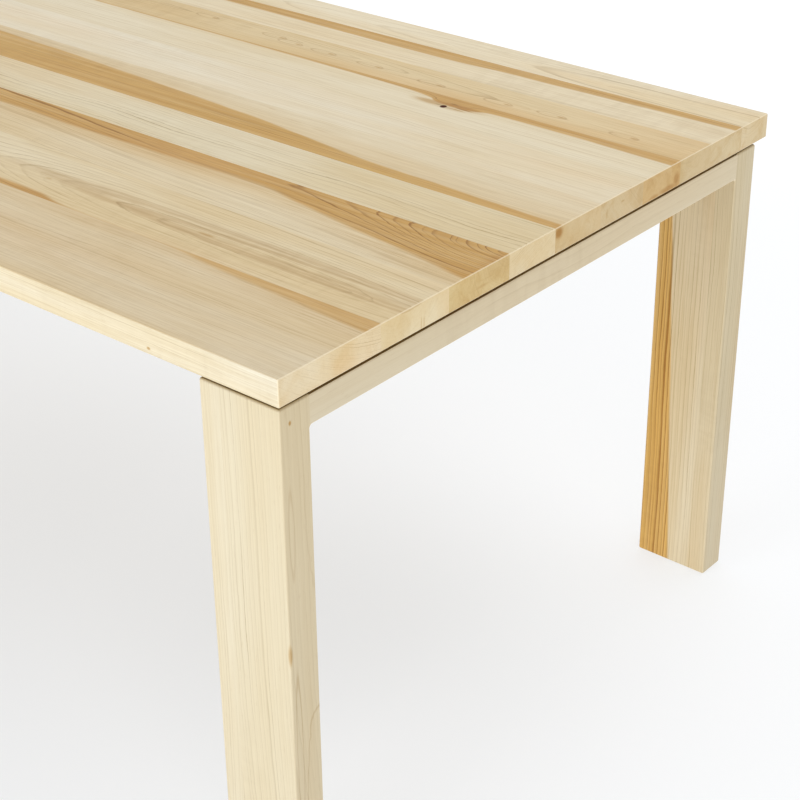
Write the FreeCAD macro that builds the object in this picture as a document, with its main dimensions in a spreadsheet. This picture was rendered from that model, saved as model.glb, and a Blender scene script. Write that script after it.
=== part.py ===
import FreeCAD, Part
import math
import os
import re
import Sketcher
from FreeCAD import Placement, Rotation, Vector

# A Parsons dining table: an edge-glued top that floats over two portal end frames.
# Millimetres. X runs along the table, Y across it and Z up. The origin lies on the
# floor under the middle of the table, the front is at -Y and the right end at +X.

# Driving sizes: name, value, meaning.
SIZES = (
    ("table_length", 2000, "top, end to end"),
    ("table_width", 1000, "top, front to back"),
    ("table_height", 750, "floor to the top face"),
    ("top_thickness", 35, "staves of the top"),
    ("top_overhang", 10, "top past the faces of the end frames, all round"),
    ("top_arris", 2, "rounding of the edges of the top"),
    ("stave_1", 166, "nominal width of the front stave of the top"),
    ("stave_2", 120, "nominal width"),
    ("stave_3", 115, "nominal width"),
    ("stave_4", 93, "nominal width"),
    ("stave_5", 97, "nominal width"),
    ("stave_6", 96, "nominal width"),
    ("stave_7", 88, "nominal width"),
    ("stave_8", 75, "nominal width"),
    ("stave_9", 80, "nominal width"),
    ("stave_10", 70, "nominal width of the back stave of the top"),
    ("shadow_gap", 10, "leg top to the underside of the top"),
    ("rail_drop", 1, "end rail top below the leg top"),
    ("leg_depth", 120, "leg along the table"),
    ("leg_thickness", 48, "leg across the table"),
    ("narrow_stave", 30, "narrow stave of each leg, along the table"),
    ("end_rail_height", 38, "end rail, as deep along the table as a leg"),
    ("frame_arris", 3, "rounding of the edges of the end frames"),
    ("frame_cove", 4, "small radius where a leg meets the end rail"),
    ("tenon_width", 50, "loose tenon, along the table"),
    ("tenon_thickness", 14, "loose tenon, upright"),
    ("tenon_length", 56, "loose tenon, half in the leg and half in the rail"),
    ("joint_play", 0.1, "play round a tenon, dowel, insert or screw"),
    ("joint_depth_play", 0.5, "room past the end of a tenon, dowel, insert or screw"),
    ("long_rail_inset", 110, "edge of the top to the outer face of a long rail"),
    ("long_rail_thickness", 28, "long rail, across the table"),
    ("long_rail_height", 72, "long rail, down from the top"),
    ("cross_rail_thickness", 28, "cross rail, along the table"),
    ("cross_rail_height", 60, "cross rail, down from the top"),
    ("inner_arris", 2, "rounding of the lower edges of the inner rails"),
    ("dowel_diameter", 10, "dowels of the long rails and the cross rails"),
    ("dowel_chamfer", 1, "both ends of a dowel"),
    ("long_dowel_reach", 30, "long rail dowel, into each side"),
    ("long_dowel_spacing", 20, "between the two dowels of a joint, upright"),
    ("cross_dowel_reach", 32, "cross rail dowel, into the cross rail"),
    ("cross_dowel_seat", 17, "cross rail dowel, into the long rail"),
    ("cross_dowel_low", 15, "lower dowel above the underside of the cross rail"),
    ("cross_dowel_spacing", 17, "between the two dowels of a joint, upright"),
    ("spacer_setback", 5, "spacer strip behind both faces of its end rail"),
    ("spacer_end_gap", 4, "spacer strip short of each leg"),
    ("bracket_reach", 50, "corner bracket, along each rail"),
    ("bracket_thickness", 4, "steel of a corner bracket"),
    ("bracket_height", 30, "corner bracket, upright"),
    ("bracket_hole_near", 24, "near screw from the corner"),
    ("bracket_hole_far", 42, "far screw from the corner"),
    ("bracket_screw_diameter", 5, "shank"),
    ("bracket_screw_length", 24, "under the head"),
    ("bracket_screw_head", 10, "head diameter"),
    ("bracket_screw_head_height", 3, "head"),
    ("bracket_screw_socket", 2.8, "square socket, across flats"),
    ("bolt_inset", 38, "outer bolt from the inner face of a long rail"),
    ("bolt_diameter", 6, "bolt that holds the top to an end rail"),
    ("bolt_head", 10, "head diameter"),
    ("bolt_head_height", 6, "head"),
    ("bolt_socket", 5, "hexagon socket, across flats"),
    ("bolt_engagement", 13, "bolt into the threaded insert"),
    ("bolt_play", 1, "slot wider than the bolt"),
    ("slot_travel", 7, "play of a bolt along its slot"),
    ("counterbore_depth", 12, "recess for the bolt head in the end rail"),
    ("counterbore_play", 2, "recess wider than the washer"),
    ("washer_diameter", 16, "washer under a bolt head"),
    ("washer_thickness", 1.5, "washer under a bolt head"),
    ("insert_diameter", 12, "threaded insert in the top"),
    ("insert_length", 18, "threaded insert in the top"),
    ("thread_play", 0.2, "insert bore past the bolt, all round"),
    ("clip_thickness", 2, "steel clip that holds the top to a long rail"),
    ("clip_width", 25, "clip along the rail"),
    ("clip_tongue", 7, "clip into the groove of the rail"),
    ("clip_standoff", 10, "rail face to the upright of the clip"),
    ("clip_rise", 15, "underside of the tongue to the top"),
    ("clip_foot", 24, "clip along the underside of the top"),
    ("groove_play", 0.5, "groove above and below the tongue, and past its end"),
    ("clip_screw_diameter", 4, "shank"),
    ("clip_screw_length", 18, "under the head"),
    ("clip_screw_head", 8, "head diameter"),
    ("clip_screw_head_height", 2.4, "head"),
    ("clip_screw_socket", 2.2, "square socket, across flats"),
    ("screw_point", 5, "pointed end of a wood screw"),
    ("socket_share", 0.6, "depth of a drive socket, as a share of its head"),
    ("foot_reveal", 2, "levelling foot below the leg, screwed right in"),
    ("foot_diameter", 30, "pad of a levelling foot"),
    ("foot_height", 6, "pad of a levelling foot"),
    ("foot_chamfer", 1.5, "lower edge of the pad"),
    ("foot_floor", 3, "pad below the flange of its stud"),
    ("foot_play", 2, "recess in the leg past the pad, all round"),
    ("foot_stop_gap", 0.3, "pad to the recess above it, screwed right in"),
    ("stud_flange_diameter", 16, "flange of the stud, held in the pad"),
    ("stud_flange_height", 2.6, "flange of the stud"),
    ("stud_diameter", 8, "threaded stud of a levelling foot"),
    ("stud_top", 40, "floor to the end of the stud"),
    ("stud_chamfer", 1, "upper end of the stud"),
    ("stud_play", 0.1, "stud in its insert, all round"),
    ("stud_room", 1, "drilling past the stud, all round"),
    ("leg_insert_diameter", 14, "threaded insert in a leg"),
    ("leg_insert_length", 25, "threaded insert in a leg"),
    ("overshoot", 1, "a cutting tool past the face that it starts from"),
)

STAVES = 10

# Sizes that follow from the driving ones: name, formula.
DERIVED = (
    ("half_length", "table_length / 2"),
    ("half_width", "table_width / 2"),
    ("stave_sum", " + ".join(f"stave_{number}" for number in range(1, STAVES + 1))),
    ("top_under", "table_height - top_thickness"),
    ("leg_top", "top_under - shadow_gap"),
    ("frame_outer_x", "half_length - top_overhang"),
    ("frame_inner_x", "frame_outer_x - leg_depth"),
    ("frame_mid_x", "frame_outer_x - leg_depth / 2"),
    ("frame_outer_y", "half_width - top_overhang"),
    ("frame_inner_y", "frame_outer_y - leg_thickness"),
    ("leg_mid_y", "frame_outer_y - leg_thickness / 2"),
    ("rail_top", "leg_top - rail_drop"),
    ("rail_bottom", "rail_top - end_rail_height"),
    ("rail_mid_z", "rail_bottom + end_rail_height / 2"),
    ("spacer_width", "leg_depth - 2 * spacer_setback"),
    ("long_outer_y", "half_width - long_rail_inset"),
    ("long_inner_y", "long_outer_y - long_rail_thickness"),
    ("long_mid_y", "long_outer_y - long_rail_thickness / 2"),
    ("long_bottom", "top_under - long_rail_height"),
    ("cross_bottom", "top_under - cross_rail_height"),
    ("bay", "frame_inner_x / 2"),
    ("outer_bolt_y", "long_inner_y - bolt_inset"),
    ("bolt_seat", "rail_bottom + counterbore_depth - washer_thickness"),
    ("bolt_length", "top_under + bolt_engagement - bolt_seat"),
    ("clip_bottom", "top_under - clip_rise"),
    ("clip_reach", "clip_tongue + clip_standoff"),
    ("clip_screw_y", "long_inner_y - clip_standoff - clip_foot / 2 - clip_thickness / 2"),
    ("clip_screw_z", "top_under - clip_thickness"),
    ("foot_recess", "foot_height - foot_reveal + foot_stop_gap"),
)

DRIVING_SHEET = "Sizes"
DERIVED_SHEET = "Derived"
SHEET_OF = {row[0]: DRIVING_SHEET for row in SIZES} | {row[0]: DERIVED_SHEET for row in DERIVED}

RIGHT_AND_LEFT = (("right", 1), ("left", -1))
FRONT_AND_BACK = (("front", -1), ("back", 1))

UP = Rotation()
QUARTER_TURN = Rotation(Vector(0, 0, 1), 90)
HALF_TURN = Rotation(Vector(0, 0, 1), 180)
THREE_QUARTER_TURN = Rotation(Vector(0, 0, 1), 270)
ALONG_X = {sign: Rotation(Vector(0, 0, 1), Vector(sign, 0, 0)) for sign in (1, -1)}
ALONG_Y = {sign: Rotation(Vector(0, 0, 1), Vector(0, sign, 0)) for sign in (1, -1)}

# Sketcher's own numbers for its axes, its origin and the ends of a line or an arc.
H_AXIS = -1
V_AXIS = -2
ORIGIN = (-1, 1)
START, END, CENTRE = 1, 2, 3

TOLERANCE = 1e-6

doc = FreeCAD.newDocument("ParsonsTable")
nodes = []


# ---------------------------------------------------------------- sheets and formulas


def formula(text, own_sheet=None):
    """The text with each size's name pointing into its sheet."""

    def address(word):
        sheet = SHEET_OF.get(word[0], own_sheet)
        return word[0] if sheet == own_sheet else f"{sheet}.{word[0]}"

    return re.sub(r"[a-z]\w*", address, str(text))


def fill_sheet(name, rows):
    """One row for each size: its name, its cell and a note."""
    sheet = doc.addObject("Spreadsheet::Sheet", name)
    for row, (alias, content, note) in enumerate(rows, start=1):
        sheet.set(f"A{row}", alias)
        sheet.set(f"B{row}", content)
        sheet.set(f"C{row}", note)
        sheet.setAlias(f"B{row}", alias)
    doc.recompute()


def fill_sheets():
    """The driving sizes as plain numbers, and those that follow from them as formulas."""
    fill_sheet(DRIVING_SHEET, [(name, str(number), note) for name, number, note in SIZES])
    follow = [(name, "=" + formula(text, DERIVED_SHEET), text) for name, text in DERIVED]
    fill_sheet(DERIVED_SHEET, follow)


def value(text):
    """The number that a formula gives."""
    return float(doc.getObject(DRIVING_SHEET).evalExpression(formula(text, DRIVING_SHEET)))


def bind(thing, path, text):
    """Ties one property of a thing to a formula."""
    thing.setExpression(path, formula(text))


def place(thing, x, y, z, turn=UP):
    """Turns a thing and ties its position to three formulas."""
    thing.Placement = Placement(Vector(), turn)
    for axis, text in zip("xyz", (x, y, z)):
        bind(thing, f"Placement.Base.{axis}", text)


# ---------------------------------------------------------------- sketches and bodies


def new_body(label):
    body = doc.addObject("PartDesign::Body", label)
    body.Label = label
    return body


def new_sketch(body, plane, lift=0):
    """An empty sketch on one of the body's own planes, lifted off it along its normal."""
    sketch = body.newObject("Sketcher::SketchObject", "outline")
    planes = [item for item in body.Origin.OriginFeatures if item.Role == plane]
    sketch.AttachmentSupport = [(planes[0], "")]
    sketch.MapMode = "FlatFace"
    bind(sketch, "AttachmentOffset.Base.z", lift)
    return sketch


def fix_coordinate(sketch, kind, line, text, axis):
    """Ties one coordinate of a line's start to a formula."""
    number = value(text)
    if abs(number) < TOLERANCE:
        sketch.addConstraint(Sketcher.Constraint("PointOnObject", line, START, axis))
        return
    if number > 0:
        ends = (*ORIGIN, line, START)
        distance = text
    else:
        ends = (line, START, *ORIGIN)
        distance = f"-1 * ({text})"
    index = sketch.addConstraint(Sketcher.Constraint(kind, *ends, abs(number)))
    bind(sketch, f"Constraints[{index}]", distance)


def outline(body, plane, points, lift=0):
    """A closed sketch of straight lines; each point is a pair of formulas."""
    sketch = new_sketch(body, plane, lift)
    corners = [Vector(value(x), value(y), 0) for x, y in points]
    for start, end in zip(corners, corners[1:] + corners[:1]):
        sketch.addGeometry(Part.LineSegment(start, end), False)
    for line in range(len(points)):
        after = (line + 1) % len(points)
        sketch.addConstraint(Sketcher.Constraint("Coincident", line, END, after, START))
    for line, (x, y) in enumerate(points):
        fix_coordinate(sketch, "DistanceX", line, x, V_AXIS)
        fix_coordinate(sketch, "DistanceY", line, y, H_AXIS)
    return sketch


def slot_outline(body, length, width, lift):
    """A round-ended slot, centred on Z, with its long way along X."""
    sketch = new_sketch(body, "XY_Plane", lift)
    radius = value(width) / 2
    reach = value(length) / 2 - radius
    upward = Vector(0, 0, 1)
    quarter = math.pi / 2
    left = Part.Circle(Vector(-reach, 0, 0), upward, radius)
    right = Part.Circle(Vector(reach, 0, 0), upward, radius)
    sketch.addGeometry(Part.ArcOfCircle(left, quarter, 3 * quarter), False)
    sketch.addGeometry(Part.LineSegment(Vector(-reach, -radius, 0), Vector(reach, -radius, 0)), False)
    sketch.addGeometry(Part.ArcOfCircle(right, -quarter, quarter), False)
    sketch.addGeometry(Part.LineSegment(Vector(reach, radius, 0), Vector(-reach, radius, 0)), False)
    for line in range(4):
        after = (line + 1) % 4
        sketch.addConstraint(Sketcher.Constraint("Tangent", line, END, after, START))
    sketch.addConstraint(Sketcher.Constraint("Equal", 0, 2))
    sketch.addConstraint(Sketcher.Constraint("Symmetric", 0, CENTRE, 2, CENTRE, *ORIGIN))
    sketch.addConstraint(Sketcher.Constraint("PointOnObject", 0, CENTRE, H_AXIS))
    rounding = sketch.addConstraint(Sketcher.Constraint("Radius", 0, radius))
    spread = sketch.addConstraint(Sketcher.Constraint("DistanceX", 0, CENTRE, 2, CENTRE, 2 * reach))
    bind(sketch, f"Constraints[{rounding}]", f"({width}) / 2")
    bind(sketch, f"Constraints[{spread}]", f"({length}) - ({width})")
    return sketch


def pad(body, sketch, length):
    feature = body.newObject("PartDesign::Pad", "pad")
    feature.Profile = sketch
    bind(feature, "Length", length)
    return feature


def rectangle(width, height):
    return [("0", "0"), (width, "0"), (width, height), ("0", height)]


def turned(label, points):
    """A body of revolution about Z; each point is a radius and a height."""
    body = new_body(label)
    sketch = outline(body, "XZ_Plane", points)
    feature = body.newObject("PartDesign::Revolution", "turning")
    feature.Profile = sketch
    feature.ReferenceAxis = (sketch, ["V_Axis"])
    feature.Angle = 360
    return body


def slotted(label, length, width, bottom, height):
    """A round-ended bar that stands on its section."""
    body = new_body(label)
    pad(body, slot_outline(body, length, width, bottom), height)
    return body


def round_edges(body, radius, wanted):
    """Rounds the edges of a body that the test picks."""
    doc.recompute()
    tip = body.Tip
    edges = enumerate(tip.Shape.Edges, start=1)
    names = [f"Edge{number}" for number, edge in edges if wanted(edge)]
    feature = body.newObject("PartDesign::Fillet", "rounding")
    feature.Base = (tip, names)
    bind(feature, "Radius", radius)


def sink_socket(body, points, lift, depth):
    """A drive socket cut upwards from the outer face of a head."""
    doc.recompute()
    before = body.Shape.Volume
    feature = body.newObject("PartDesign::Pocket", "socket")
    feature.Profile = outline(body, "XY_Plane", points, lift)
    feature.Reversed = True
    bind(feature, "Length", depth)
    doc.recompute()
    if body.Shape.Volume > before - TOLERANCE:
        raise RuntimeError(body.Label + ": the socket cuts nothing")


# ---------------------------------------------------------------- assembling helpers


def keep(thing, node, solids=1):
    """Names a finished piece and lists it with the number of solids that it holds."""
    thing.Label = node
    nodes.append((thing, solids))
    return thing


def compound(label, things):
    whole = doc.addObject("Part::Compound", label)
    whole.Links = things
    return whole


def repeated(label, master, spots):
    """Copies of one master, each at a spot: x, y, z and a turn."""
    copies = []
    for spot in spots:
        copy = doc.addObject("App::Link", label + "_copy")
        copy.LinkedObject = master
        copy.LinkTransform = False
        place(copy, *spot)
        copies.append(copy)
    return compound(label, copies)


def cut(base, tool):
    result = doc.addObject("Part::Cut", base.Name + "_cut")
    result.Base = base
    result.Tool = tool
    return result


def part_of(whole, corner, size):
    """What a box with its lowest corner at corner holds of a larger piece."""
    box = doc.addObject("Part::Box", whole.Name + "_box")
    for path, text in zip(("Length", "Width", "Height"), size):
        bind(box, path, text)
    place(box, *corner)
    common = doc.addObject("Part::Common", whole.Name + "_part")
    common.Base = whole
    common.Tool = box
    return common


# ---------------------------------------------------------------- hardware


def peg(label, seat, reach):
    """A chamfered dowel about the joint plane at z = 0, seat below it and reach above."""
    edge = "dowel_diameter / 2 - dowel_chamfer"
    side = "dowel_diameter / 2"
    return turned(
        label,
        [
            ("0", f"-({seat})"),
            (edge, f"-({seat})"),
            (side, f"-({seat}) + dowel_chamfer"),
            (side, f"{reach} - dowel_chamfer"),
            (edge, reach),
            ("0", reach),
        ],
    )


def drilling(label, diameter, bottom, top):
    """A plain round cutter from bottom to top, with the joint's play all round."""
    side = f"({diameter}) / 2 + joint_play"
    return turned(label, [("0", bottom), (side, bottom), (side, top), ("0", top)])


def ring(label, bore, outside, length):
    return turned(label, [(bore, "0"), (outside, "0"), (outside, length), (bore, length)])


def wood_screw(name):
    """A flat-headed wood screw; the plane under its head is at z = 0."""
    head = f"{name}_head / 2"
    shank = f"{name}_diameter / 2"
    length = f"{name}_length"
    body = turned(
        name,
        [
            ("0", f"-{name}_head_height"),
            (head, f"-{name}_head_height"),
            (head, "0"),
            (shank, "0"),
            (shank, f"{length} - screw_point"),
            ("0", length),
        ],
    )
    side = f"{name}_socket / 2"
    square = [(f"-{side}", f"-{side}"), (side, f"-{side}"), (side, side), (f"-{side}", side)]
    sink_socket(body, square, f"-{name}_head_height", f"{name}_head_height * socket_share")
    return body


def screw_hole(name):
    return drilling(f"{name}_hole", f"{name}_diameter", "0", f"{name}_length + joint_depth_play")


def socket_bolt():
    """A cap bolt with a hexagon socket; the plane under its head is at z = 0."""
    body = turned(
        "socket_bolt",
        [
            ("0", "-bolt_head_height"),
            ("bolt_head / 2", "-bolt_head_height"),
            ("bolt_head / 2", "0"),
            ("bolt_diameter / 2", "0"),
            ("bolt_diameter / 2", "bolt_length"),
            ("0", "bolt_length"),
        ],
    )
    flat = "bolt_socket / 2"
    low = "bolt_socket / (2 * sqrt(3))"
    high = "bolt_socket / sqrt(3)"
    hexagon = [
        (flat, f"-{low}"),
        (flat, low),
        ("0", high),
        (f"-{flat}", low),
        (f"-{flat}", f"-{low}"),
        ("0", f"-{high}"),
    ]
    sink_socket(body, hexagon, "-bolt_head_height", "bolt_head_height * socket_share")
    return body


def bolt_slot():
    """What is cut from an end rail and its spacer for one bolt; the rail's underside is at z = 0."""
    body = new_body("bolt_slot")
    recess = "washer_diameter + counterbore_play"
    sketch = slot_outline(body, f"{recess} + slot_travel", recess, "-overshoot")
    pad(body, sketch, "overshoot + counterbore_depth")
    width = "bolt_diameter + bolt_play"
    sketch = slot_outline(body, f"{width} + slot_travel", width, "0")
    pad(body, sketch, "top_under - rail_bottom")
    return body


def corner_bracket():
    """A steel angle whose outer corner is at the origin, with a flange along X and one along Y."""
    body = new_body("corner_bracket")
    points = [
        ("0", "0"),
        ("bracket_reach", "0"),
        ("bracket_reach", "bracket_thickness"),
        ("bracket_thickness", "bracket_thickness"),
        ("bracket_thickness", "bracket_reach"),
        ("0", "bracket_reach"),
    ]
    pad(body, outline(body, "XY_Plane", points, "-bracket_height / 2"), "bracket_height")
    return body


def top_clip():
    """A steel clip in section: tongue along X, upright along Y and foot, centred on Z."""
    body = new_body("top_clip")
    points = [
        ("0", "0"),
        ("clip_reach + clip_thickness", "0"),
        ("clip_reach + clip_thickness", "clip_rise - clip_thickness"),
        ("clip_reach + clip_foot", "clip_rise - clip_thickness"),
        ("clip_reach + clip_foot", "clip_rise"),
        ("clip_reach", "clip_rise"),
        ("clip_reach", "clip_thickness"),
        ("0", "clip_thickness"),
    ]
    pad(body, outline(body, "XY_Plane", points, "-clip_width / 2"), "clip_width")
    return body


def foot_pad(label):
    """The plastic pad of a levelling foot, with a seat for the flange of its stud."""
    seat = "stud_flange_diameter / 2 + joint_play"
    return turned(
        label,
        [
            ("0", "0"),
            ("foot_diameter / 2 - foot_chamfer", "0"),
            ("foot_diameter / 2", "foot_chamfer"),
            ("foot_diameter / 2", "foot_height"),
            (seat, "foot_height"),
            (seat, "foot_floor"),
            ("0", "foot_floor"),
        ],
    )


def foot_stud(label):
    return turned(
        label,
        [
            ("0", "foot_floor"),
            ("stud_flange_diameter / 2", "foot_floor"),
            ("stud_flange_diameter / 2", "foot_floor + stud_flange_height"),
            ("stud_diameter / 2", "foot_floor + stud_flange_height"),
            ("stud_diameter / 2", "stud_top - stud_chamfer"),
            ("stud_diameter / 2 - stud_chamfer", "stud_top"),
            ("0", "stud_top"),
        ],
    )


def foot_socket():
    """What is cut from the foot of a leg: recess, insert hole and room for the stud."""
    recess = "foot_diameter / 2 + foot_play"
    hole = "leg_insert_diameter / 2 + joint_play"
    hole_top = "foot_recess + leg_insert_length + joint_depth_play"
    room = "stud_diameter / 2 + stud_room"
    room_top = "stud_top - foot_reveal + stud_room"
    return turned(
        "foot_socket",
        [
            ("0", "-overshoot"),
            (recess, "-overshoot"),
            (recess, "foot_recess"),
            (hole, "foot_recess"),
            (hole, hole_top),
            (room, hole_top),
            (room, room_top),
            ("0", room_top),
        ],
    )


# ---------------------------------------------------------------- where things repeat


def joint_spots(x, y, z, turns):
    """The same joint at each of the four corners of the table."""
    spots = []
    for _, end in RIGHT_AND_LEFT:
        for _, side in FRONT_AND_BACK:
            spots.append((f"{end} * ({x})", f"{side} * ({y})", z, turns(end, side)))
    return spots


def long_dowel_spots():
    spots = []
    for step in (-1, 1):
        height = f"rail_mid_z + {step} * long_dowel_spacing / 2"
        spots += joint_spots("frame_inner_x", "long_mid_y", height, lambda end, side: ALONG_X[end])
    return spots


def cross_rail_places():
    return (("left", "-bay"), ("middle", "0"), ("right", "bay"))


def cross_dowel_spots():
    spots = []
    for _, x in cross_rail_places():
        for _, side in FRONT_AND_BACK:
            for step in (0, 1):
                height = f"cross_bottom + cross_dowel_low + {step} * cross_dowel_spacing"
                spots.append((x, f"{side} * long_inner_y", height, ALONG_Y[-side]))
    return spots


def bolt_spots(height, turn=UP):
    """Two bolts near each long rail and two nearer the middle, in each end rail."""
    spots = []
    for _, end in RIGHT_AND_LEFT:
        for _, side in FRONT_AND_BACK:
            for share in (1, 3):
                x = f"{end} * frame_mid_x"
                spots.append((x, f"{side} * outer_bolt_y / {share}", height, turn))
    return spots


def bracket_screw_spots():
    spots = []
    for from_corner in ("bracket_hole_near", "bracket_hole_far"):
        spots += joint_spots(
            f"frame_inner_x - {from_corner}",
            "long_inner_y - bracket_thickness",
            "rail_mid_z",
            lambda end, side: ALONG_Y[side],
        )
        spots += joint_spots(
            "frame_inner_x - bracket_thickness",
            f"long_inner_y - {from_corner}",
            "rail_mid_z",
            lambda end, side: ALONG_X[end],
        )
    return spots


def clip_spots(y, height, turns):
    """One clip in the middle of each bay between cross rails, on both long rails."""
    spots = []
    for bays in (-1.5, -0.5, 0.5, 1.5):
        for _, side in FRONT_AND_BACK:
            spots.append((f"{bays} * bay", f"{side} * ({y})", height, turns[side]))
    return spots


# ---------------------------------------------------------------- top


def top_slab():
    """The top as it is planed and sanded after glueing, with every edge rounded."""
    slab = new_body("top_slab")
    pad(slab, outline(slab, "XY_Plane", rectangle("table_length", "table_width")), "top_thickness")
    round_edges(slab, "top_arris", lambda edge: True)
    place(slab, "-half_length", "-half_width", "top_under")
    return slab


def build_top(holes):
    """The staves share the width of the top in proportion to their nominal widths."""
    slab = top_slab()
    laid = "0"
    for number in range(1, STAVES + 1):
        own = f"stave_{number}"
        start = f"-half_width + table_width * ({laid}) / stave_sum"
        stave = part_of(
            slab,
            ("-half_length", start, "top_under"),
            ("table_length", f"table_width * {own} / stave_sum", "top_thickness"),
        )
        keep(cut(stave, holes), f"top_stave_{number:02d}")
        laid += f" + {own}"


# ---------------------------------------------------------------- end frames


def on_cove(edge):
    """True for the two inner corners of the portal, where its opening meets the rail."""
    ends = [vertex.Point for vertex in edge.Vertexes]
    along = abs(ends[0].x - ends[-1].x) > TOLERANCE
    inside = TOLERANCE < ends[0].y < value("2 * frame_outer_y") - TOLERANCE
    high = abs(ends[0].z - value("rail_bottom - foot_reveal")) < TOLERANCE
    return along and inside and high


def on_arris(edge):
    """True for every edge of the portal but the smooth seams of its two coves."""
    ends = [vertex.Point for vertex in edge.Vertexes]
    along = abs(ends[0].x - ends[-1].x) > TOLERANCE
    low = ends[0].z < value("rail_bottom - foot_reveal - 2 * frame_cove")
    outside = ends[0].y < TOLERANCE or ends[0].y > value("2 * frame_outer_y") - TOLERANCE
    return not along or low or outside


def portal():
    """A whole end frame as it is sanded after glueing: two legs and a rail, edges rounded."""
    body = new_body("portal")
    inner = "2 * frame_outer_y - leg_thickness"
    under = "rail_bottom - foot_reveal"
    points = [
        ("0", "0"),
        ("leg_thickness", "0"),
        ("leg_thickness", under),
        (inner, under),
        (inner, "0"),
        ("2 * frame_outer_y", "0"),
        ("2 * frame_outer_y", "leg_top - foot_reveal"),
        ("0", "leg_top - foot_reveal"),
    ]
    pad(body, outline(body, "YZ_Plane", points), "leg_depth")
    round_edges(body, "frame_cove", on_cove)
    round_edges(body, "frame_arris", on_arris)
    return body


def leg_staves(frame, side, side_name, end, end_name, holes):
    """The two glued staves of one leg; the glue lines of the legs alternate round the table."""
    start = f"{end} * frame_mid_x - leg_depth / 2"
    narrow = "narrow_stave"
    wide = "leg_depth - narrow_stave"
    if side < 0:
        staves = (("narrow", start, narrow), ("wide", f"{start} + {narrow}", wide))
    else:
        staves = (("wide", start, wide), ("narrow", f"{start} + {wide}", narrow))
    front = f"{side} * leg_mid_y - leg_thickness / 2"
    for kind, low, width in staves:
        corner = (low, front, "foot_reveal")
        size = (width, "leg_thickness", "leg_top - foot_reveal")
        stave = part_of(frame, corner, size)
        keep(cut(stave, holes), f"leg_{side_name}_{end_name}_{kind}_stave")


def end_rail(frame, end, end_name, holes):
    corner = (f"{end} * frame_mid_x - leg_depth / 2", "-frame_inner_y", "rail_bottom - frame_cove")
    size = ("leg_depth", "2 * frame_inner_y", "end_rail_height + frame_cove")
    keep(cut(part_of(frame, corner, size), holes), f"end_rail_{end_name}")


def build_end_frames(leg_holes, rail_holes):
    for end_name, end in RIGHT_AND_LEFT:
        frame = portal()
        place(frame, f"{end} * frame_mid_x - leg_depth / 2", "-frame_outer_y", "foot_reveal")
        for side_name, side in FRONT_AND_BACK:
            leg_staves(frame, side, side_name, end, end_name, leg_holes)
        end_rail(frame, end, end_name, rail_holes)


# ---------------------------------------------------------------- inner rails and spacers


def build_long_rails(holes):
    """Rails from end frame to end frame, with a groove for the top clips on the inside."""
    groove_low = "clip_bottom - groove_play - long_bottom"
    groove_high = "clip_bottom + clip_thickness + groove_play - long_bottom"
    groove_depth = "clip_tongue + groove_play"
    points = [
        ("0", "0"),
        ("long_rail_thickness", "0"),
        ("long_rail_thickness", "long_rail_height"),
        ("0", "long_rail_height"),
        ("0", groove_high),
        (groove_depth, groove_high),
        (groove_depth, groove_low),
        ("0", groove_low),
    ]
    for side_name, side in FRONT_AND_BACK:
        body = new_body("long_rail")
        pad(body, outline(body, "YZ_Plane", points), "2 * frame_inner_x")
        round_edges(body, "inner_arris", along_x_at_bottom)
        turn = UP if side > 0 else HALF_TURN
        place(body, f"{-side} * frame_inner_x", f"{side} * long_inner_y", "long_bottom", turn)
        keep(cut(body, holes), f"long_rail_{side_name}")


def along_x_at_bottom(edge):
    ends = [vertex.Point for vertex in edge.Vertexes]
    return abs(ends[0].x - ends[-1].x) > TOLERANCE and max(end.z for end in ends) < TOLERANCE


def along_y_at_bottom(edge):
    ends = [vertex.Point for vertex in edge.Vertexes]
    return abs(ends[0].y - ends[-1].y) > TOLERANCE and max(end.z for end in ends) < TOLERANCE


def build_cross_rails(holes):
    for name, x in cross_rail_places():
        body = new_body("cross_rail")
        section = rectangle("cross_rail_thickness", "2 * long_inner_y")
        pad(body, outline(body, "XY_Plane", section), "cross_rail_height")
        round_edges(body, "inner_arris", along_y_at_bottom)
        place(body, f"{x} - cross_rail_thickness / 2", "-long_inner_y", "cross_bottom")
        keep(cut(body, holes), f"cross_rail_{name}")


def build_spacers(holes):
    """Dark strips over the end rails, set back from their faces, that carry the top there."""
    for end_name, end in RIGHT_AND_LEFT:
        body = new_body("spacer_strip")
        section = rectangle("spacer_width", "2 * (frame_inner_y - spacer_end_gap)")
        pad(body, outline(body, "XY_Plane", section), "top_under - rail_top")
        front = "spacer_end_gap - frame_inner_y"
        place(body, f"{end} * frame_mid_x - spacer_width / 2", front, "rail_top")
        keep(cut(body, holes), f"spacer_strip_{end_name}")


# ---------------------------------------------------------------- fixings


def build_tenons():
    """Loose tenons in the joints of the end frames, and the mortises for them."""
    spots = joint_spots("frame_mid_x", "frame_inner_y", "rail_mid_z", lambda end, side: ALONG_Y[1])
    tenon = slotted("tenon", "tenon_width", "tenon_thickness", "-tenon_length / 2", "tenon_length")
    mortise = slotted(
        "mortise",
        "tenon_width + 2 * joint_play",
        "tenon_thickness + 2 * joint_play",
        "-tenon_length / 2 - joint_depth_play",
        "tenon_length + 2 * joint_depth_play",
    )
    keep(repeated("end_rail_loose_tenons", tenon, spots), "end_rail_loose_tenons", len(spots))
    return repeated("mortises", mortise, spots)


def build_dowels(name, seat, reach, spots):
    """Dowels about a joint plane, and the holes for them."""
    pin = peg(f"{name}_peg", seat, reach)
    hole = drilling(
        f"{name}_hole",
        "dowel_diameter",
        f"-({seat}) - joint_depth_play",
        f"{reach} + joint_depth_play",
    )
    keep(repeated(name, pin, spots), name, len(spots))
    return repeated(f"{name}_holes", hole, spots)


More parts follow.
